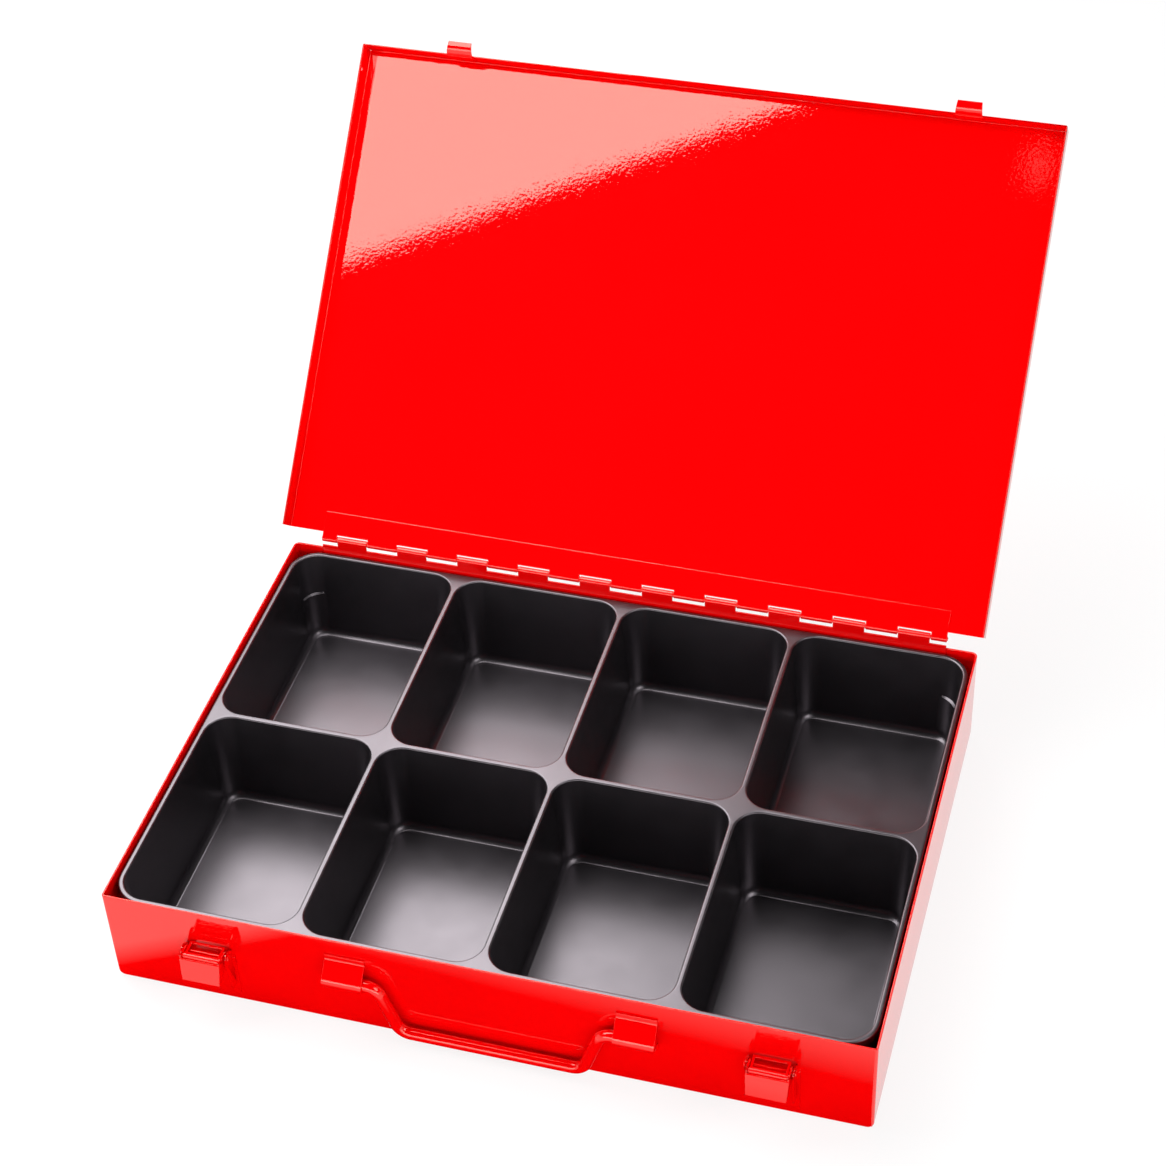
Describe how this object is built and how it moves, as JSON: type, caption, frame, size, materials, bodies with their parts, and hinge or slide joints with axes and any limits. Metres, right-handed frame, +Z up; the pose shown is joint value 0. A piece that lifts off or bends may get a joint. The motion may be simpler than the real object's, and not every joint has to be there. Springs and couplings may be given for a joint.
{
  "type": "compartment organizer box",
  "caption": "Flat painted steel assortment case with a piano-hinged lid, toggle latches, a folding wire carry handle and a moulded compartment tray.",
  "frame": {"origin": "middle of the underside of the base", "axes": "+X to the right as seen from the latches, +Y towards the hinge, +Z up"},
  "size_m": [0.441, 0.537, 0.316],
  "materials": {
    "paint": "gloss",
    "tray": "satin"
  },
  "bodies": {
    "base": {"base_shell": "paint", "insert_tray": "tray", "base_hinge_leaf": "paint", "hinge_pin": "paint", "latch_bracket_left": "paint", "latch_bracket_right": "paint", "lever_pin_left": "paint", "lever_pin_right": "paint", "handle_bracket_left": "paint", "handle_bracket_right": "paint"},
    "lid": {"lid_shell": "paint", "lid_hinge_leaf": "paint", "lid_catch_left": "paint", "lid_catch_right": "paint"},
    "latch_left": {"latch_lever_left": "paint", "link_pin_left": "paint"},
    "link_left": {"latch_link_left": "paint"},
    "latch_right": {"latch_lever_right": "paint", "link_pin_right": "paint"},
    "link_right": {"latch_link_right": "paint"},
    "handle": {"handle_bail": "paint"}
  },
  "joints": [
    {"name": "lid_hinge", "type": "hinge", "parent": "base", "child": "lid", "pos_m": [0, 0.1535, 0.0733], "axis": [1, 0, 0], "range_deg": [0, 134]},
    {"name": "latch_lever_left", "type": "hinge", "parent": "base", "child": "latch_left", "pos_m": [-0.156, -0.159, 0.0422], "axis": [-1, 0, 0], "range_deg": [0, 55]},
    {"name": "latch_link_left", "type": "hinge", "parent": "latch_left", "child": "link_left", "pos_m": [-0.156, -0.1645, 0.0446], "axis": [1, 0, 0], "range_deg": [0, 160]},
    {"name": "latch_lever_right", "type": "hinge", "parent": "base", "child": "latch_right", "pos_m": [0.162, -0.159, 0.0422], "axis": [-1, 0, 0], "range_deg": [0, 55]},
    {"name": "latch_link_right", "type": "hinge", "parent": "latch_right", "child": "link_right", "pos_m": [0.162, -0.1645, 0.0446], "axis": [1, 0, 0], "range_deg": [0, 160]},
    {"name": "handle_swing", "type": "hinge", "parent": "base", "child": "handle", "pos_m": [0.0065, -0.1583, 0.0415], "axis": [-1, 0, 0], "range_deg": [0, 100]}
  ]
}
